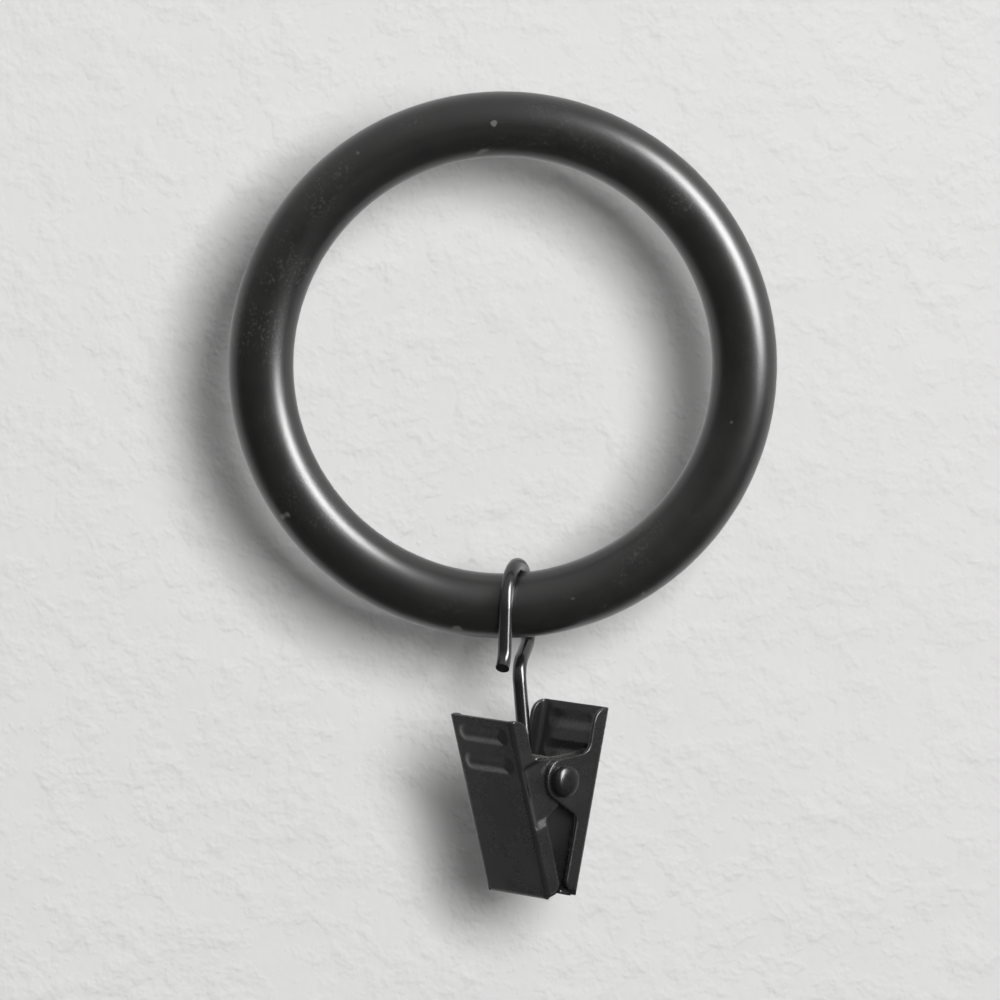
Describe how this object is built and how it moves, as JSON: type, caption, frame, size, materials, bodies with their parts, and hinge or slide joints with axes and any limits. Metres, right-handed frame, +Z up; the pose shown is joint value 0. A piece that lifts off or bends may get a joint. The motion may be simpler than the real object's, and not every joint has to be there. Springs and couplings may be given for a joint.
{
  "type": "curtain ring with clip",
  "caption": "Round curtain ring with a wire hook that carries a sprung two-jaw metal clip on a rivet.",
  "frame": {"origin": "centre of the ring, on the axis of the rod that passes through it", "axes": "+Z up, +Y along the rod, away from the viewer, +X to the viewer's right"},
  "size_m": [0.0666, 0.0191, 0.0981],
  "materials": {
    "ring_coat": "satin black powder coat",
    "wire_coat": "gloss black",
    "clip_coat": "semi-gloss black",
    "rivet_coat": "semi-gloss black",
    "spring_steel": "gloss black"
  },
  "bodies": {
    "ring": {"ring": "ring_coat"},
    "hook": {"hook": "wire_coat"},
    "jaw_front": {"jaw_front": "clip_coat", "rivet": "rivet_coat", "spring": "spring_steel"},
    "jaw_back": {"jaw_back": "clip_coat"}
  },
  "joints": [
    {"name": "hook_swing", "type": "hinge", "parent": "ring", "child": "hook", "pos_m": [0.00167, 0, -0.02932], "axis": [1, 0, 0], "range_deg": [-90, 90]},
    {"name": "clip_swing", "type": "hinge", "parent": "hook", "child": "jaw_front", "pos_m": [0.00336, 0, -0.05027], "axis": [0.6884, -0.7254, 0], "range_deg": [-38, 11]},
    {"name": "jaw_open", "type": "hinge", "parent": "jaw_front", "child": "jaw_back", "pos_m": [0.00336, 0, -0.05027], "axis": [0.6884, -0.7254, 0], "range_deg": [0, 25], "stiffness_Nm_per_rad": 0.05, "springref_deg": -51.57, "deforming": ["spring"]}
  ]
}
